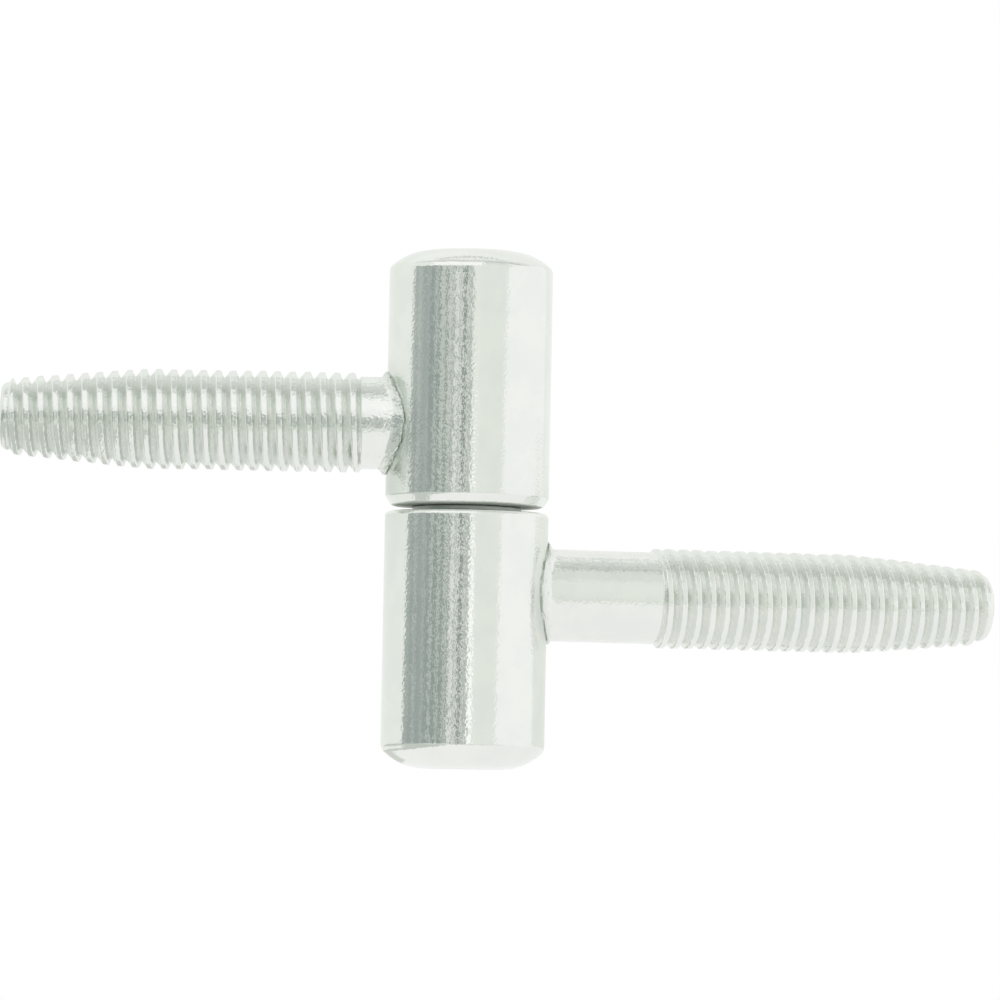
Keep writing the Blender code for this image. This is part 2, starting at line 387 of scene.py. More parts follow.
def arc(centre, radius, first, last, steps):
    """Points on a circle from the first to the last angle in degrees, both ends included.

    point(a) = centre + radius * (cos a, sin a).
    """
    angle = np.radians(np.linspace(first, last, steps + 1))
    return np.asarray(centre) + radius * np.stack([np.cos(angle), np.sin(angle)], 1)


def tube_faces(ids):
    """Faces of a grid of vertex numbers that is closed round its columns.

    Corner order is (row, col), (row + 1, col), (row + 1, col + 1), (row, col + 1), which faces
    outward where the rows run against the axis on the outside. A first or last row that holds one
    number all round is a pole, and its quads become triangles.
    """
    quads = np.stack([ids[:-1], ids[1:], np.roll(ids[1:], -1, 1), np.roll(ids[:-1], -1, 1)], -1)
    faces = []
    if ids[0, 0] == ids[0, 1]:
        faces += quads[0][:, [0, 1, 2]].tolist()
        quads = quads[1:]
    if ids[-1, 0] == ids[-1, 1]:
        faces += quads[-1][:, [0, 1, 3]].tolist()
        quads = quads[:-1]
    return faces + quads.reshape(-1, 4).tolist()


def poled_grid(points, first_pole, last_pole):
    """Vertices and faces of a grid of points (rows, columns, 3), with each named end row one point.

    The third result says which of the grid's points became vertices.
    """
    rows, columns = points.shape[:2]
    ids = np.arange(rows * columns).reshape(rows, columns)
    keep = np.ones(rows * columns, bool)
    if first_pole:
        keep[1:columns] = False
        ids[0] = ids[0, 0]
    if last_pole:
        keep[-columns + 1 :] = False
        ids[-1] = ids[-1, 0]
    renumbered = np.cumsum(keep) - 1
    return points.reshape(-1, 3)[keep], tube_faces(renumbered[ids]), keep


def turned_points(outline, columns):
    """A grid of points turned about Z from an outline of (radius, height).

    point(s, a) = (radius(s) cos a, radius(s) sin a, height(s)), with a the angle round the axis.
    """
    radius, height = outline.T
    angle = np.arange(columns) * (math.tau / columns)
    return np.stack(
        [
            np.outer(radius, np.cos(angle)),
            np.outer(radius, np.sin(angle)),
            np.repeat(height[:, None], columns, 1),
        ],
        -1,
    )


def turned(outline, columns):
    """Vertices and faces of a body turned from an outline that runs down its outside.

    Where an end of the outline lies on the axis, the body closes in one point.
    """
    on_axis = outline[:, 0] < 1e-9
    vertices, faces, _ = poled_grid(turned_points(outline, columns), on_axis[0], on_axis[-1])
    return vertices, faces


def new_object(name, vertices, faces, material):
    """An object at the origin, with a new mesh of one material."""
    mesh = bpy.data.meshes.new(name)
    mesh.from_pydata(vertices, [], faces)
    mesh.materials.append(material)
    piece = bpy.data.objects.new(name, mesh)
    bpy.context.scene.collection.objects.link(piece)
    return piece


def finish_piece(name, vertices, faces, material, body, nodes, marks=None):
    """Puts a finished mesh at the origin, smooth but for its sharp edges, riding on its body.

    marks are the attributes that the plating reads, with one value for each vertex.
    """
    piece = new_object(name, vertices.tolist(), faces, material)
    mesh = piece.data
    mesh.shade_smooth()
    mesh.set_sharp_from_angle(angle=SHARP_ANGLE)
    for mark, values in (marks or {}).items():
        layer = mesh.attributes.new(mark, "FLOAT", "POINT")
        layer.data.foreach_set("value", np.ascontiguousarray(values, np.float32))
    if mesh.validate():
        raise RuntimeError(f"{name} had faces that are not valid")
    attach(piece, body)
    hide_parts(*nodes)


def crown_outline(end, outward, wall_radius, width, height, edge, groove):
    """Outline of a domed end, from its flat disc to the top of the wall, in (radius, height).

    The arc is tangent to the disc, width wide and height high. A fine groove is cut into it just
    before the crisp edge, and the edge itself is a round of its own radius.
    """
    big = (width**2 + height**2) / (2 * height)
    sweep = math.atan2(width, big - height)
    disc = wall_radius - width
    # The points lie closer together towards the edge, where the groove is
    angle = sweep * (1 - (1 - np.linspace(0.0, 1.0, 61)) ** 1.6)
    groove_at, groove_wide = 0.965, 0.014
    cut = groove * np.exp(-(((angle / sweep - groove_at) / groove_wide) ** 2))
    radius = disc + (big - cut) * np.sin(angle)
    drop = big - (big - cut) * np.cos(angle)
    dome = np.stack([radius, end - outward * drop], 1)
    # The edge's round is tangent to the wall, and ends this much further along it than the dome
    reach = edge * math.tan((math.pi / 2 - sweep) / 2)
    centre = np.array([wall_radius - edge, end - outward * (height + reach)])
    turn = np.linspace(math.pi / 2 - sweep, 0.0, 9)
    rounding = np.stack(
        [centre[0] + edge * np.cos(turn), centre[1] + outward * edge * np.sin(turn)], 1
    )
    inside = dome[:, 0] < rounding[0, 0] - 0.02 * MM
    flat = line((disc * 0.02, end), dome[0], 8)[1:]
    return np.concatenate([[[0.0, end]], flat, dome[inside], rounding])


def bevel_outline(wall_radius, foot, height):
    """Outline of the upper knuckle's bevelled lower end: wall, round, cone and round, to its foot.

    The cone leans in by 33 degrees. The upper round is 0.45 times as big as the bevel is high, and
    the lower one 0.5 times.
    """
    lean = 33.0
    upper, lower = 0.45 * height, 0.5 * height
    first = arc((wall_radius - upper, foot + height), upper, 0.0, -lean, 8)
    drop = first[-1, 1] - (foot + lower * (1 - math.sin(math.radians(lean))))
    inner = first[-1, 0] - drop * math.tan(math.radians(lean))
    centre = (inner - lower * math.cos(math.radians(lean)), foot + lower)
    second = arc(centre, lower, -lean, -90.0, 7)
    return np.concatenate([first, second])


def fine_wall(radius, start, stop, rows):
    """The straight outside wall between two heights, without either end."""
    return line((radius, start), (radius, stop), rows)[1:]


def stain_below(vertices, bearing, height, strength, fade):
    """Share of painted shade on a barrel below a shank's weld, for each vertex.

    It is even within 38 degrees of the weld's bearing, comes in level with the shank and fades
    downwards over the fade length.
    """
    half_width, start, onset = math.radians(38.0), 2.5 * MM, 4 * MM
    x, y, z = vertices.T
    turn = (np.arctan2(y, x) - bearing + math.pi) % math.tau - math.pi
    below = height + start - z
    side = np.exp(-((turn / half_width) ** 4))
    wall = np.hypot(x, y) > LOWER_HEAD.x - 0.01 * MM
    ends = smooth_step(below / onset) * np.exp(-np.clip(below - onset, 0.0, None) / fade)
    return strength * wall * side * ends


def weld_tint_and_shade(vertices, bearing, height, strength):
    """Share of darker metal round a weld, for each vertex of a barrel: partly the weld's own dull
    metal, partly painted shade under the shank.

    It is full within 4.9 mm of the shank's axis and fades out over 1.2 mm more, and it is half as
    strong above the shank as below it.
    """
    core, fade = 4.9 * MM, 1.2 * MM
    x, y, z = vertices.T
    along = x * math.cos(bearing) + y * math.sin(bearing)
    beside = y * math.cos(bearing) - x * math.sin(bearing)
    away = np.hypot(beside, z - height)
    near = 1 - smooth_step((away - core) / fade)
    below = 0.5 + 0.5 * smooth_step((height + 2 * MM - z) / (3 * MM))
    return strength * (along > 0) * near * below


def dull_end(vertices, level):
    """4 on a barrel's bearing end, which is turned and not polished, and 0 elsewhere."""
    inside = np.hypot(vertices[:, 0], vertices[:, 1]) < LOWER_HEAD.x - 0.45 * MM
    return 4.0 * (inside & (np.abs(vertices[:, 2] - level) < 0.1 * MM))


def lower_outline(sizes):
    """Outline of the lower barrel, from the pin's seat up, over the bearing end and down."""
    seat = PIN_HEAD.x + sizes.pin_press
    seat_foot = PIN_FOOT.z - sizes.pin_press
    wall, head = LOWER_HEAD.x, LOWER_HEAD.z
    chamfer, rim = sizes.bore_chamfer, sizes.lower_rim
    crown = crown_outline(
        LOWER_FOOT.z, -1.0, wall, sizes.crown_width, sizes.crown_height, sizes.foot_edge, groove=0.0
    )[::-1]
    return np.concatenate(
        [
            [[0.0, seat_foot - seat / math.tan(DRILL_POINT)]],
            line((seat, seat_foot), (seat, head - chamfer), 12),
            line((seat, head - chamfer), (seat + chamfer, head), 4),
            line((seat + chamfer, head), (wall - rim, head), 10),
            arc((wall - rim, head - rim), rim, 90.0, 0.0, 10),
            fine_wall(wall, head - rim, crown[0, 1], WALL_ROWS),
            crown,
        ]
    )


def upper_outline(sizes):
    """Outline of the upper barrel, from its crown down, round the bearing end and up the bore."""
    bore = PIN_HEAD.x + sizes.pin_play
    wall, foot, head = LOWER_HEAD.x, UPPER_FOOT.z, UPPER_HEAD.z
    roof = head - sizes.roof
    chamfer, rim = sizes.bore_chamfer, sizes.upper_rim
    bevel = bevel_outline(wall, foot, rim)
    crown = crown_outline(
        head, 1.0, wall, sizes.crown_width, sizes.head_height, sizes.head_edge, sizes.groove
    )
    return np.concatenate(
        [
            crown,
            fine_wall(wall, crown[-1, 1], foot + rim, WALL_ROWS),
            bevel,
            line(tuple(bevel[-1]), (bore + chamfer, foot), 10)[1:],
            line((bore + chamfer, foot), (bore, foot + chamfer), 4),
            line((bore, foot + chamfer), (bore, roof), 12),
            [[bore, roof], [0.0, roof + bore / math.tan(DRILL_POINT)]],
        ]
    )


class HINGE_OT_knuckles(Operator):
    """Builds the two turned barrels with their crowns, rims and blind bores"""

    bl_idname = "hinge.knuckles"
    bl_label = "Knuckles"

    def execute(self, context):
        sizes, finish = context.scene.hinge_knuckles, context.scene.hinge_finish
        zinc = zinc_plating(
            "bright_zinc_on_turned_steel",
            finish.zinc_roughness,
            finish,
            waviness=1.0,
            rough_spread=0.06,
        )
        vertices, faces = turned(lower_outline(sizes), sizes.columns)
        marks = {
            "root": dull_end(vertices, LOWER_HEAD.z),
            # Painted shade below both shanks, and darker metal with painted shade round the frame
            # shank's weld
            "stain": stain_below(vertices, 0.0, FRAME_TIP.z, strength=0.2, fade=12 * MM)
            + stain_below(vertices, DOOR_BEARING, DOOR_TIP.z, strength=0.8, fade=5 * MM)
            + weld_tint_and_shade(vertices, 0.0, FRAME_TIP.z, strength=0.25),
        }
        finish_piece(
            "lower_barrel", vertices, faces, zinc, "frame_half", ["lower_knuckle"], marks
        )
        vertices, faces = turned(upper_outline(sizes), sizes.columns)
        marks = {
            "root": dull_end(vertices, UPPER_FOOT.z),
            # Painted shade below the door shank, and darker metal with painted shade round its weld
            "stain": np.maximum(
                stain_below(vertices, DOOR_BEARING, DOOR_TIP.z, strength=0.62, fade=25 * MM),
                weld_tint_and_shade(vertices, DOOR_BEARING, DOOR_TIP.z, strength=0.5),
            ),
        }
        finish_piece(
            "upper_barrel", vertices, faces, zinc, "door_half", ["upper_knuckle"], marks
        )
        return {"FINISHED"}


def ripple(angle, along, seed, waves):
    """A repeatable unevenness either side of 0: sine waves round and along the shank.

    value = sum over the waves k of sin(k angle + a along + b), over the root of their number, with
    an a and a b for each k from the seed.
    """
    draw = np.random.default_rng(seed)
    total = np.zeros(np.broadcast(angle, along).shape)
    for count in waves:
        total += np.sin(count * angle + draw.uniform(-4, 4) * along + draw.uniform(0, math.tau))
    return total / math.sqrt(len(waves))


def rings(x, radius, angle):
    """Points (x, r cos a, r sin a) round +X, with a row for each x and r, and a column for each a."""
    return np.stack(np.broadcast_arrays(x, radius * np.cos(angle), radius * np.sin(angle)), -1)


def thread_rings(sizes, angle, start, tip, phase, seed, shoulder):
    """The thread of a shank, from its tip's round to its neck: x, r and the share of root.

    r(x, a) = crest(x) - depth * (1 - form(x / pitch - a / 2 pi - phase)). form is 1 on a crest,
    falls steeply towards the barrel and gently towards the tip, and is 0 in the narrow root.
    crest(x) tapers to the tip, and both ends fade into plain rings. The rolled turns wander by
    about a hundredth of a pitch, and their crests are worn by about 0.02 mm.
    """
    wander, wear = 0.012, 0.02 * MM
    end = tip - sizes.tip_round
    count = round((end - start) / sizes.pitch * sizes.rows)
    x = np.linspace(end, start, count + 1)[:, None]
    drift = wander * ripple(angle, x / MM, seed, (1, 2, 3))
    turns = x / sizes.pitch - angle / math.tau - phase + drift
    middle = sizes.steep_flank + sizes.crest_flat / 2
    along = (turns + middle) % 1.0
    foot = sizes.steep_flank + sizes.crest_flat + sizes.gentle_flank
    ramp = np.minimum(along / sizes.steep_flank, (foot - along) / sizes.gentle_flank)
    ramp = np.clip(ramp, 0.0, 1.0)
    form = (ramp + smooth_step(ramp)) / 2
    share = np.clip(1 - (tip - x) / sizes.taper, 0.0, 1.0)
    crest = sizes.crest_radius - (sizes.crest_radius - sizes.tip_crest) * share**sizes.taper_curve
    crest = crest - wear * (1 + ripple(angle, x / MM, seed + 1, (1, 2, 4, 5)))
    radius = crest - sizes.depth * (1 - form)
    run_in = smooth_step((x - start) / sizes.run_out)
    radius = sizes.neck_radius + (radius - sizes.neck_radius) * run_in
    radius = shoulder + (radius - shoulder) * smooth_step((end - x) / (0.8 * sizes.run_out))
    return x, radius, (1 - form) * run_in


def tip_rings(sizes, tip, shoulder):
    """The flat tip of a shank and its round, from the axis outward: x and r.

    On the round, x = tip - size + size sin t and r = shoulder - size (1 - cos t).
    """
    turn = np.radians(np.linspace(90.0, 6.0, 12))[:, None]
    radius = shoulder - sizes.tip_round * (1 - np.cos(turn))
    # The flat's rings, as shares of its radius
    flat = np.array([0.0, 0.35, 0.7, 0.95])[:, None] * radius[0]
    x = tip - sizes.tip_round + sizes.tip_round * np.sin(turn)
    return np.concatenate([np.full(flat.shape, tip), x]), np.concatenate([flat, radius])


def flash_rings(sizes, angle, across, seed, lean):
    """The weld flash, for each share across it, from the neck at 0 to the barrel at 1: x and r.

    r = neck + rise * lift(share), with lift full at the share that swell names and lower by droop
    at the barrel, and x = sqrt(R^2 - y^2) - sink + width * (1 - share), so that the last row lies on
    the barrel. The rise and the width are uneven round the shank, and lean makes one side higher.
    """
    barrel, swell, droop = LOWER_HEAD.x, 0.74, 0.35
    mean_rise, lump_rise, bead_height = 0.74, 0.13, 0.05 * MM
    mean_width, stray_width = 0.945, 0.168
    lumps = ripple(angle, 0.0, seed + 2, (2, 3, 5, 8, 13))
    rise = sizes.flash_rise * (mean_rise + lean * np.sin(angle) + lump_rise * lumps)
    stray = ripple(angle, 0.0, seed + 3, (2, 3, 5, 7))
    width = sizes.flash_width * (mean_width + stray_width * stray)
    fall = 1 - droop * smooth_step((across - swell) / (1 - swell))
    lift = smooth_step(across / swell) ** 1.4 * fall
    fine = bead_height * ripple(angle, across * 9, seed + 4, (9, 14, 19, 27)) * lift
    radius = sizes.neck_radius + rise * lift + fine
    saddle = np.sqrt(barrel**2 - np.minimum((radius * np.cos(angle)) ** 2, barrel**2 * 0.9))
    return saddle - sizes.flash_sink + width * (1 - across), radius


def shank_grid(sizes, start, tip, phase, seed, lean):
    """A shank along +X from the hinge axis, as rings from its tip back to its welded root.

    The tip's flat and round come first, then the thread, the plain neck, the weld flash and the
    end face that is sunk into the barrel. The results are the points, and the weld, root and
    darkening of each one.
    """
    angle = (np.arange(sizes.columns) * (math.tau / sizes.columns))[None, :]
    barrel = LOWER_HEAD.x
    # A plain ring, a little below the last crest, where the thread meets the tip's round
    shoulder = sizes.tip_crest - sizes.depth * 0.45
    cap_x, cap_radius = tip_rings(sizes, tip, shoulder)
    thread_x, thread_radius, root = thread_rings(sizes, angle, start, tip, phase, seed, shoulder)
    across = np.linspace(0.0, 1.0, 19)[:, None]
    flash_x, flash_radius = flash_rings(sizes, angle, across, seed, lean)
    face_radius = flash_radius[-1] * np.array([0.75, 0.5, 0.25, 0.0])[:, None]
    face_x = np.sqrt(barrel**2 - (face_radius * np.cos(angle)) ** 2) - 2 * sizes.flash_sink

    # The neck runs from the thread to the flash, and the weld's spatter thins out along it
    row_step, spatter_reach, unevenness = 0.25 * MM, 0.45 * MM, 0.006 * MM
    steps = max(8, round((start - barrel) / row_step))
    share = (np.arange(1, steps) / steps)[:, None]
    neck_x = start + (flash_x[0] - start) * share
    away = (neck_x - flash_x[0]) / spatter_reach
    neck_radius = sizes.neck_radius + unevenness * ripple(angle, neck_x / MM, seed + 5, (1, 2)) * share

    # The flash grows darker from a fifth of the way across it, towards the barrel, and is fully darker
    # from four fifths
    flash_stain = smooth_step((across - 0.2) / 0.6)

    # Each part's points, weld, root and darkening
    parts = (
        (rings(cap_x, cap_radius, angle), 0.0, 0.0, 0.0),
        (rings(thread_x, thread_radius, angle), 0.0, root, 0.0),
        (rings(neck_x, neck_radius, angle), np.exp(-away), 0.0, 0.0),
        (rings(flash_x, flash_radius, angle), 1.0, 0.0, flash_stain),
        (rings(face_x, face_radius, angle), 1.0, 0.0, 1.0),
    )
    points = np.concatenate([part[0] for part in parts])
    weld, root, stain = (
        np.concatenate([np.broadcast_to(part[mark], part[0].shape[:2]) for part in parts])
        for mark in (1, 2, 3)
    )
    return points, weld, root, stain


class HINGE_OT_shanks(Operator):
    """Builds the two threaded, tapered shanks with their plain necks and weld flash"""

    bl_idname = "hinge.shanks"
    bl_label = "Threaded Shanks"

    def execute(self, context):
        sizes, finish = context.scene.hinge_shanks, context.scene.hinge_finish
        zinc = zinc_plating(
            "bright_zinc_on_rolled_thread",
            finish.thread_roughness,
            finish,
            waviness=3.0,
            rough_spread=0.08,
        )
        grid = shank_grid(sizes, FRAME_THREAD_START, FRAME_TIP.x, phase=0.96, seed=11, lean=0.22)
        self.place("frame_shank", grid, 0.0, FRAME_TIP.z, zinc, "frame_half", "lower_shank", thread_shade=0.0)
        door_tip = DOOR_TIP.to_2d().length
        door_start = door_tip - THREAD_LENGTH - sizes.door_lead
        grid = shank_grid(sizes, door_start, door_tip, phase=0.652, seed=23, lean=-0.1)
        self.place(
            "door_shank", grid, DOOR_BEARING, DOOR_TIP.z, zinc, "door_half", "upper_shank", thread_shade=0.05
        )
        return {"FINISHED"}

    def place(self, name, grid, bearing, height, zinc, body, node, thread_shade):
        """Turns a shank to its bearing, sets it at its height and closes both its ends.

        Its thread gets painted shade, the last argument's share on the crests and twice as much in the
        roots.
        """
        weld_stain = 0.25
        points, weld, root, stain = grid
        placed = Matrix.Translation((0, 0, height)) @ Matrix.Rotation(bearing, 4, "Z")
        placed = np.array(placed)
        points = points @ placed[:3, :3].T + placed[:3, 3]
        vertices, faces, keep = poled_grid(points, True, True)
        root = root.ravel()[keep]
        thread = np.arange(len(root)) < (root > 0).nonzero()[0].max()
        marks = {
            "weld": weld.ravel()[keep],
            "root": root,
            # Painted shade on the thread, deepest in the roots, and the flash darkening towards the
            # barrel
            "stain": thread * (thread_shade + thread_shade * root) + weld_stain * stain.ravel()[keep],
        }
        finish_piece(name, vertices, faces, zinc, body, [node], marks)


class HINGE_OT_pin(Operator):
    """Builds the ground pin that stands in the lower knuckle"""

    bl_idname = "hinge.pin"
    bl_label = "Pin"

    def execute(self, context):
        sizes, finish = context.scene.hinge_pin, context.scene.hinge_finish
        steel = worked_steel(
            "ground_steel_pin",
            finish.ground,
            roughness=0.24,
            scratch=0.6 * MM,
            scratch_height=0.002 * MM,
        )
        radius, nose, foot = PIN_HEAD.x, sizes.nose, sizes.foot
        top, bottom = PIN_HEAD.z, PIN_FOOT.z
        outline = np.concatenate(
            [
                [[0.0, top]],
                line((0.05 * MM, top), (radius - nose, top), 6)[1:],
                arc((radius - nose, top - nose), nose, 90.0, 0.0, 16),
                fine_wall(radius, top - nose, bottom + foot, 40),
                line((radius, bottom + foot), (radius - foot, bottom), 4),
                [[radius - foot, bottom], [0.0, bottom]],
            ]
        )
        vertices, faces = turned(outline, sizes.columns)
        finish_piece(
            "ground_pin", vertices, faces, steel, "frame_half", ["hinge_pin"]
        )
        return {"FINISHED"}


class HINGE_OT_washer(Operator):
    """Builds the loose thrust washer between the knuckles"""

    bl_idname = "hinge.washer"
    bl_label = "Thrust Washer"

    def execute(self, context):
        sizes, finish = context.scene.hinge_pin, context.scene.hinge_finish
        steel = worked_steel(
            "pressed_steel_washer",
            finish.pressed,
            roughness=0.38,
            scratch=0.5 * MM,
            scratch_height=0.004 * MM,
        )
        outer, inner, edge = WASHER_HEAD.x, sizes.bore, sizes.edge
        top, bottom = WASHER_HEAD.z, WASHER_FOOT.z
        outline = np.concatenate(
            [
                arc((outer - edge, top - edge), edge, 90.0, 0.0, 5),
                arc((outer - edge, bottom + edge), edge, 0.0, -90.0, 5),
                arc((inner + edge, bottom + edge), edge, 270.0, 180.0, 5),
                arc((inner + edge, top - edge), edge, 180.0, 90.0, 5),
            ]
        )
        points = turned_points(outline, sizes.columns)
        ids = np.arange(points[..., 0].size).reshape(points.shape[:2])
        # The first ring comes again at the end, which closes the washer's section
        faces = tube_faces(np.concatenate([ids, ids[:1]]))
        vertices = points.reshape(-1, 3)
        finish_piece(
            "pressed_washer", vertices, faces, steel, "washer", ["thrust_washer"]
        )
        return {"FINISHED"}


def view_directions():
    """Unit vectors of the photograph's view: forward into the scene, and to the right."""
    forward = Vector((math.sin(CAMERA_BEARING), math.cos(CAMERA_BEARING), 0.0))
    right = Vector((math.cos(CAMERA_BEARING), -math.sin(CAMERA_BEARING), 0.0))
    return forward, right


def glossy_only(piece):
    """A card is seen in the metal and throws neither light nor shadow on the floor."""
    piece.visible_camera = False
    piece.visible_diffuse = False
    piece.visible_transmission = False
    piece.visible_volume_scatter = False
    piece.visible_shadow = False


def glowing(name, code, strength=1.0):
    """A card's paper: an even glow of one colour."""
    material, tree = new_material(name)
    glow = add_node(tree, "ShaderNodeEmission", Color=linear(code, 1.0), Strength=strength)
    add_node(tree, "ShaderNodeOutputMaterial", Surface=glow.outputs[0])
    return material


def curved_card(name, distance, foot, head, code, strength=1.0):
    """A card bent round the hinge axis, seen only in the metal.

    foot and head are (height, left bearing, right bearing), in metres and in degrees from the
    camera's side, to the right. point(s, t) = distance * (right sin b - forward cos b) + height,
    with b and the height going evenly from foot to head.
    """
    forward, right = view_directions()
    rise = np.linspace(0.0, 1.0, 9)[:, None]
    across = np.linspace(0.0, 1.0, 33)[None, :]
    left = foot[1] + (head[1] - foot[1]) * rise
    far = foot[2] + (head[2] - foot[2]) * rise
    bearing = np.radians(left + (far - left) * across)
    height = np.broadcast_to(foot[0] + (head[0] - foot[0]) * rise, bearing.shape)
    points = distance * (
        np.sin(bearing)[..., None] * np.array(right) - np.cos(bearing)[..., None] * np.array(forward)
    )
    points[..., 2] = height
    ids = np.arange(bearing.size).reshape(bearing.shape)
    quads = np.stack([ids[:-1, :-1], ids[1:, :-1], ids[1:, 1:], ids[:-1, 1:]], -1)
    paper = glowing(name, code, strength)
    glossy_only(
        new_object(name, points.reshape(-1, 3).tolist(), quads.reshape(-1, 4).tolist(), paper)
    )


def ceiling_card(name, height, reaches, sides, code):
    """A level card, from near to far towards the camera and from left to right."""
    forward, right = view_directions()
    corners = [
        right * side - forward * reach + Vector((0, 0, height))
        for reach, side in (
            (reaches[1], sides[0]),
            (reaches[0], sides[0]),
            (reaches[0], sides[1]),
            (reaches[1], sides[1]),
        )
    ]
    flat_card(name, corners, code)


def flat_card(name, corners, code):
    """A card with four corners, seen only in the metal."""
    vertices = [tuple(corner) for corner in corners]
    glossy_only(new_object(name, vertices, [(0, 1, 2, 3)], glowing(name, code)))


def eye_rays(tree):
    """1 for a ray from the camera, a reflection or a refraction, and 0 for one that lights."""
    path = add_node(tree, "ShaderNodeLightPath")
    seen = path.outputs["Is Camera Ray"]
    for kind in ("Is Glossy Ray", "Is Transmission Ray"):
        seen = add_node(
            tree, "ShaderNodeMath", {"operation": "MAXIMUM"}, in_0=seen, in_1=path.outputs[kind]
        ).outputs[0]
    return seen


# Thin light and dark things in front of the grey cards, as bearing, width and colour. The uneven
# plating breaks their reflections up into speckles.
CLUTTER = (
    (-86.0, 0.9, "#C9CECA"),
    (-81.0, 0.8, "#98A1A0"),
    (-76.0, 1.2, "#D5D8D4"),
    (-68.5, 1.4, "#98A19F"),
    (-62.0, 2.4, "#B9C0BD"),
    (-56.0, 3.0, "#9AA39F"),
    (-50.0, 2.4, "#CBD1CC"),
    (-45.0, 3.0, "#929C97"),
    (-39.5, 2.4, "#CACFCA"),
    (-34.5, 3.0, "#969F9B"),
    (-29.5, 2.2, "#D6DBD5"),
    (-25.0, 2.4, "#98A19D"),
    (-20.0, 2.8, "#EEF0ED"),
    (-15.5, 2.0, "#A3ACA7"),
    (-12.0, 2.2, "#E8EBE7"),
    (-8.5, 3.2, "#85908D"),
    (-4.0, 2.4, "#E6E9E4"),
    (-0.5, 2.2, "#AFB6B1"),
    (3.0, 1.2, "#D2D7D2"),
)

# Slats above the hinge, as how far their near and far edges lie towards the camera, and their
# colour. They break up the light on the upper half of each neck in the same way.
SLATS = (
    (0.075, 0.09, "#F4F6F3"),
    (0.04, 0.06, "#B8BEB9"),
    (0.01, 0.025, "#F4F6F3"),
    (-0.03, -0.01, "#C6CBC6"),
    (-0.09, -0.055, "#C2C8C2"),
    (-0.2, -0.16, "#CDD2CD"),
)


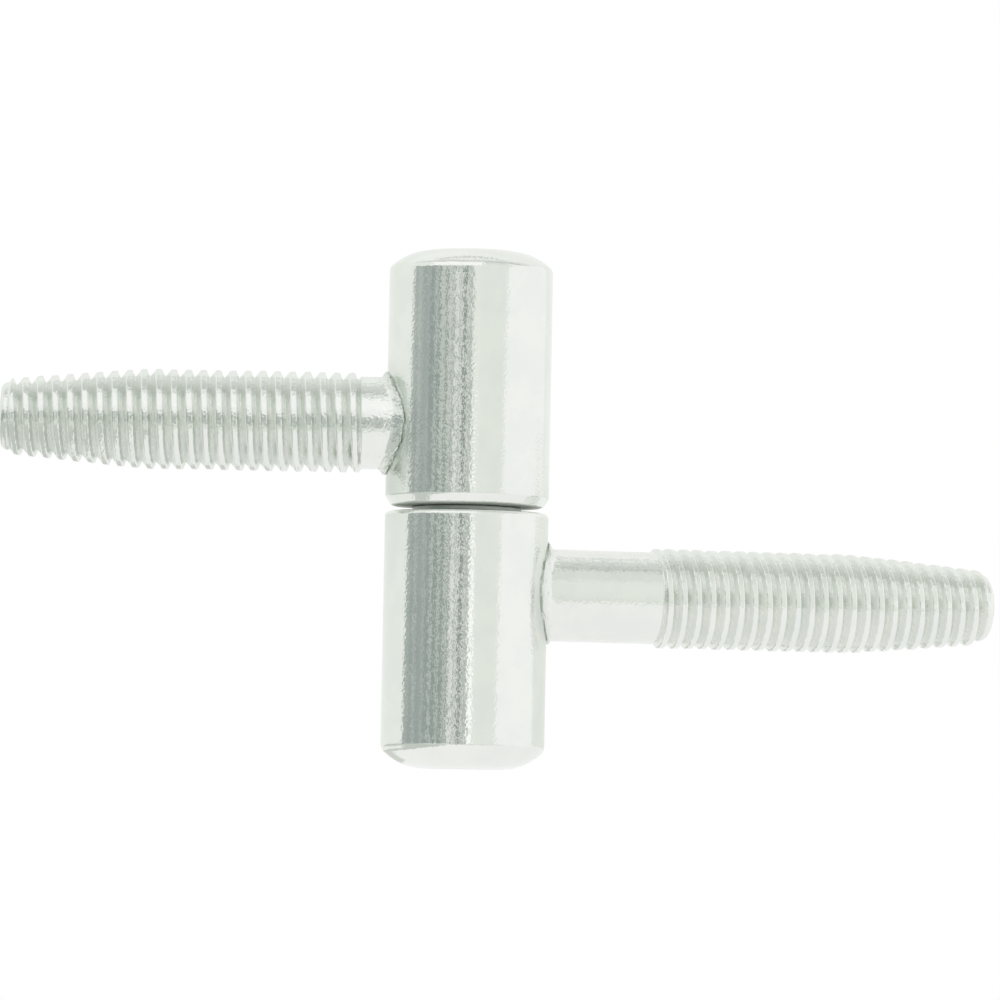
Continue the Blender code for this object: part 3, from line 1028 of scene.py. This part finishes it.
class HINGE_OT_studio(Operator):
    """Builds the pale floor, the reflector cards, the soft lamp, the world and the camera"""

    bl_idname = "hinge.studio"
    bl_label = "Studio"

    def execute(self, context):
        studio = context.scene.hinge_studio
        self.floor(studio)
        self.cards(studio)
        self.light(context.scene, studio)
        self.camera(context.scene, studio)
        context.scene.view_settings.view_transform = "Standard"
        return {"FINISHED"}

    def floor(self, studio):
        """A matt white floor that keeps the hinge's shadow and turns plain white further out."""
        shadow_reach, white_reach, half = 0.12, 0.32, 3.0
        material, tree = new_material("white_floor")
        place = add_node(tree, "ShaderNodeTexCoord").outputs["Object"]
        distance = add_node(
            tree, "ShaderNodeVectorMath", {"operation": "LENGTH"}, in_0=place
        ).outputs["Value"]
        near = add_node(
            tree,
            "ShaderNodeMapRange",
            {"interpolation_type": "SMOOTHSTEP"},
            Value=distance,
            From_Min=shadow_reach,
            From_Max=white_reach,
            To_Min=studio.floor_light,
            To_Max=1.0,
        ).outputs[0]
        matt = add_node(tree, "ShaderNodeBsdfDiffuse", Color=linear("#F4F4F2", 1.0)).outputs[0]
        glow = add_node(
            tree, "ShaderNodeEmission", Color=(1.0, 1.0, 1.0, 1.0), Strength=1.0
        ).outputs[0]
        shown = add_node(tree, "ShaderNodeMixShader", Fac=near, in_1=matt, in_2=glow).outputs[0]
        surface = add_node(
            tree, "ShaderNodeMixShader", Fac=eye_rays(tree), in_1=matt, in_2=shown
        ).outputs[0]
        add_node(tree, "ShaderNodeOutputMaterial", Surface=surface)
        drop = -studio.floor_drop
        corners = [(-half, -half, drop), (half, -half, drop), (half, half, drop), (-half, half, drop)]
        floor = new_object("floor", corners, [(0, 1, 2, 3)], material)

    def cards(self, studio):
        """Grey and pale cards, whose edges make the bands on the barrels and on the necks."""
        far = studio.card_distance
        low, middle, high = -studio.floor_drop, 0.0425, 0.10

        # Bent cards from the left round by the camera to the right. The nearer ones hide the others
        curved_card("left_wall", far * 1.1, (low, -182, -70), (0.35, -182, -70), "#F3F6F2")
        curved_card("grey_flag", far, (low, -97, -27), (high, -84, -27), "#B4BBB8")
        curved_card("flag_shade", far * 0.98, (low, -62, -30), (high, -66, -38), "#A5ADAC")
        curved_card("low_shade", far * 0.97, (low, -47, -23), (middle, -47, -26), "#A3ADA9")
        curved_card("low_flag", far * 0.985, (low, -93, -60), (middle, -88, -62), "#A6AEAB")
        curved_card("pale_flag", far * 0.97, (middle, -43, -27), (high, -44, -27), "#CBD2CB")
        curved_card("pale_stripe", far, (low, -27, -13), (high, -27, -13), "#D8DCD7")
        curved_card("camera_shade", far * 0.98, (low, -13, 5), (high, -12, 2.5), "#C4CAC4")
        curved_card("camera_body", far * 0.97, (low, -10, -1), (high, -10, -5), "#BEC4BE")
        curved_card("front_paper", far * 1.02, (low, 3, 42), (high, 2, 56), "#EEF1EC")
        curved_card("bright_strip", far * 0.96, (low, 6.5, 12), (middle, 6, 11), "#FFFFFF", 1.12)
        curved_card("right_back", far, (low, 116, 175), (middle, 112, 175), "#EFF2ED")
        curved_card("right_far", far, (middle, 132, 182), (0.6, 132, 182), "#F7F8F5")
        curved_card("right_low", far, (high, 17, 62), (0.27, 18, 62), "#EEF1ED")
        curved_card("right_high", far, (0.27, 18, 62), (1.0, 28, 70), "#E4E8E3")
        curved_card("left_high", far * 1.12, (high, -104, -60), (1.0, -104, -66), "#EEF1ED")
        # Each piece of clutter leans by up to 1.5 degrees, to either side
        for number, (bearing, wide, code) in enumerate(CLUTTER):
            lean = 1.5 * math.sin(2.4 * number)
            curved_card(
                f"clutter_{number}",
                far * 0.95,
                (low, bearing - lean, bearing - lean + wide),
                (high, bearing + lean, bearing + lean + wide),
                code,
            )

        # Cards overhead, which light the upper half of each shank
        roof, full = 0.5, (-0.7, 0.7)
        ceiling_card("boom", roof, (0.10, 0.145), full, "#B4BAB6")
        ceiling_card("ceiling_paper", roof + 0.01, (-0.012, 0.12), full, "#D4D9D3")
        ceiling_card("ceiling_back", roof, (-0.7, -0.012), full, "#FAFBF9")
        for number, (near, far_edge, code) in enumerate(SLATS):
            ceiling_card(f"slat_{number}", roof - 0.01, (near, far_edge), full, code)
        ceiling_card("neck_shade", roof - 0.03, (0.19, 0.24), (-0.12, 0.08), "#D2D7D1")

        # Sheets just above the floor, which light the lower half and the bevel
        sheet, upper_sheet = low + 0.001, low + 0.002
        ceiling_card("left_sheet", sheet, (-0.25, 0.13), (-0.4, -0.043), "#CDD2CC")
        ceiling_card("bevel_sheet", upper_sheet, (-0.25, -0.005), (-0.12, -0.058), "#F4F6F2")
        ceiling_card("neck_sheet", sheet, (-0.2, -0.05), (-0.055, -0.02), "#D5D9D4")
        ceiling_card("front_sheet", sheet, (0.13, 0.35), (-0.4, 0.3), "#E6EAE4")
        ceiling_card("camera_foot", upper_sheet, (0.2, 0.35), (-0.08, 0.02), "#CBD0CA")

    def light(self, scene, studio):
        """One soft lamp above the camera, and an even white world."""
        forward, right = view_directions()
        lamp_distance, back_distance, world_light = 0.55, 0.56, 0.75
        lamp = bpy.data.lights.new("soft_lamp", "AREA")
        lamp.shape = "RECTANGLE"
        lamp.size, lamp.size_y = 0.75, 0.31
        # Power that gives the lamp's face the wanted radiance
        lamp.energy = studio.lamp_radiance * lamp.size * lamp.size_y * math.pi
        holder = bpy.data.objects.new("soft_lamp", lamp)
        # It stands overhead on the camera's side, a little to the left
        towards = (right * -0.2 - forward * 0.33 + Vector((0, 0, 0.47))).normalized()
        turn = towards.to_track_quat("Z", "Y")
        holder.location = towards * lamp_distance
        holder.rotation_mode = "QUATERNION"
        holder.rotation_quaternion = turn
        scene.collection.objects.link(holder)
        # A lamp lets reflections through, so a black card behind it keeps the white world out
        corners = [
            towards * back_distance
            + turn.to_matrix() @ Vector((side * lamp.size / 2, rise * lamp.size_y / 2, 0.0))
            for side, rise in ((-1, -1), (1, -1), (1, 1), (-1, 1))
        ]
        flat_card("lamp_back", corners, "#000000")

        world = bpy.data.worlds.new("white_studio")
        world.use_nodes = True
        tree = world.node_tree
        tree.nodes.clear()
        strength = add_node(
            tree, "ShaderNodeMapRange", Value=eye_rays(tree), To_Min=world_light, To_Max=1.0
        ).outputs[0]
        paper = add_node(
            tree, "ShaderNodeBackground", Color=(1.0, 1.0, 1.0, 1.0), Strength=strength
        ).outputs[0]
        add_node(tree, "ShaderNodeOutputWorld", Surface=paper)
        scene.world = world

    def camera(self, scene, studio):
        """The photograph's view: a long lens a little below the hinge, rolled by one degree."""
        rise, roll = math.radians(3.0), math.radians(1.09)
        aim_right, aim_height = 2.82 * MM, 23.06 * MM
        forward, right = view_directions()
        look = forward * math.cos(rise) + Vector((0, 0, math.sin(rise)))
        up = Vector((0, 0, math.cos(rise))) - forward * math.sin(rise)
        camera_up = up * math.cos(roll) - right * math.sin(roll)
        camera_right = right * math.cos(roll) + up * math.sin(roll)
        aim = right * aim_right + Vector((0, 0, aim_height))
        data = bpy.data.cameras.new("camera")
        data.sensor_width = 36.0
        data.lens = studio.lens
        data.clip_start, data.clip_end = 0.01, 20.0
        camera = bpy.data.objects.new("camera", data)
        turn = Matrix((camera_right, camera_up, -look)).transposed()
        camera.matrix_world = Matrix.Translation(aim - look * studio.camera_distance) @ turn.to_4x4()
        scene.collection.objects.link(camera)
        scene.camera = camera


class HINGE_PT_panel(Panel):
    """Lists the hinge's pieces and their settings in the sidebar"""

    bl_idname = "HINGE_PT_panel"
    bl_label = "Drill-in Hinge"
    bl_space_type = "VIEW_3D"
    bl_region_type = "UI"
    bl_category = "Hinge"

    def draw(self, context):
        for group, operators in PANEL_ROWS:
            box = self.layout.box()
            settings = getattr(context.scene, group)
            for name in settings.__annotations__:
                box.prop(settings, name)
            for operator in operators:
                box.operator(operator.bl_idname)


PANEL_ROWS = (
    ("hinge_knuckles", (HINGE_OT_knuckles,)),
    ("hinge_shanks", (HINGE_OT_shanks,)),
    ("hinge_pin", (HINGE_OT_pin, HINGE_OT_washer)),
    ("hinge_finish", ()),
    ("hinge_studio", (HINGE_OT_studio,)),
)
SETTINGS = {
    "hinge_knuckles": KnuckleSizes,
    "hinge_shanks": ShankSizes,
    "hinge_pin": PinSizes,
    "hinge_finish": Finish,
    "hinge_studio": Studio,
}
CLASSES = (
    *SETTINGS.values(),
    HINGE_OT_knuckles,
    HINGE_OT_shanks,
    HINGE_OT_pin,
    HINGE_OT_washer,
    HINGE_OT_studio,
    HINGE_PT_panel,
)


def register():
    for item in CLASSES:
        bpy.utils.register_class(item)
    for name, group in SETTINGS.items():
        setattr(bpy.types.Scene, name, PointerProperty(type=group))


def unregister():
    for name in SETTINGS:
        delattr(bpy.types.Scene, name)
    for item in reversed(CLASSES):
        bpy.utils.unregister_class(item)


def main():
    register()
    bpy.ops.hinge.knuckles()
    bpy.ops.hinge.shanks()
    bpy.ops.hinge.pin()
    bpy.ops.hinge.washer()
    bpy.ops.hinge.studio()


if __name__ == "__main__":
    main()
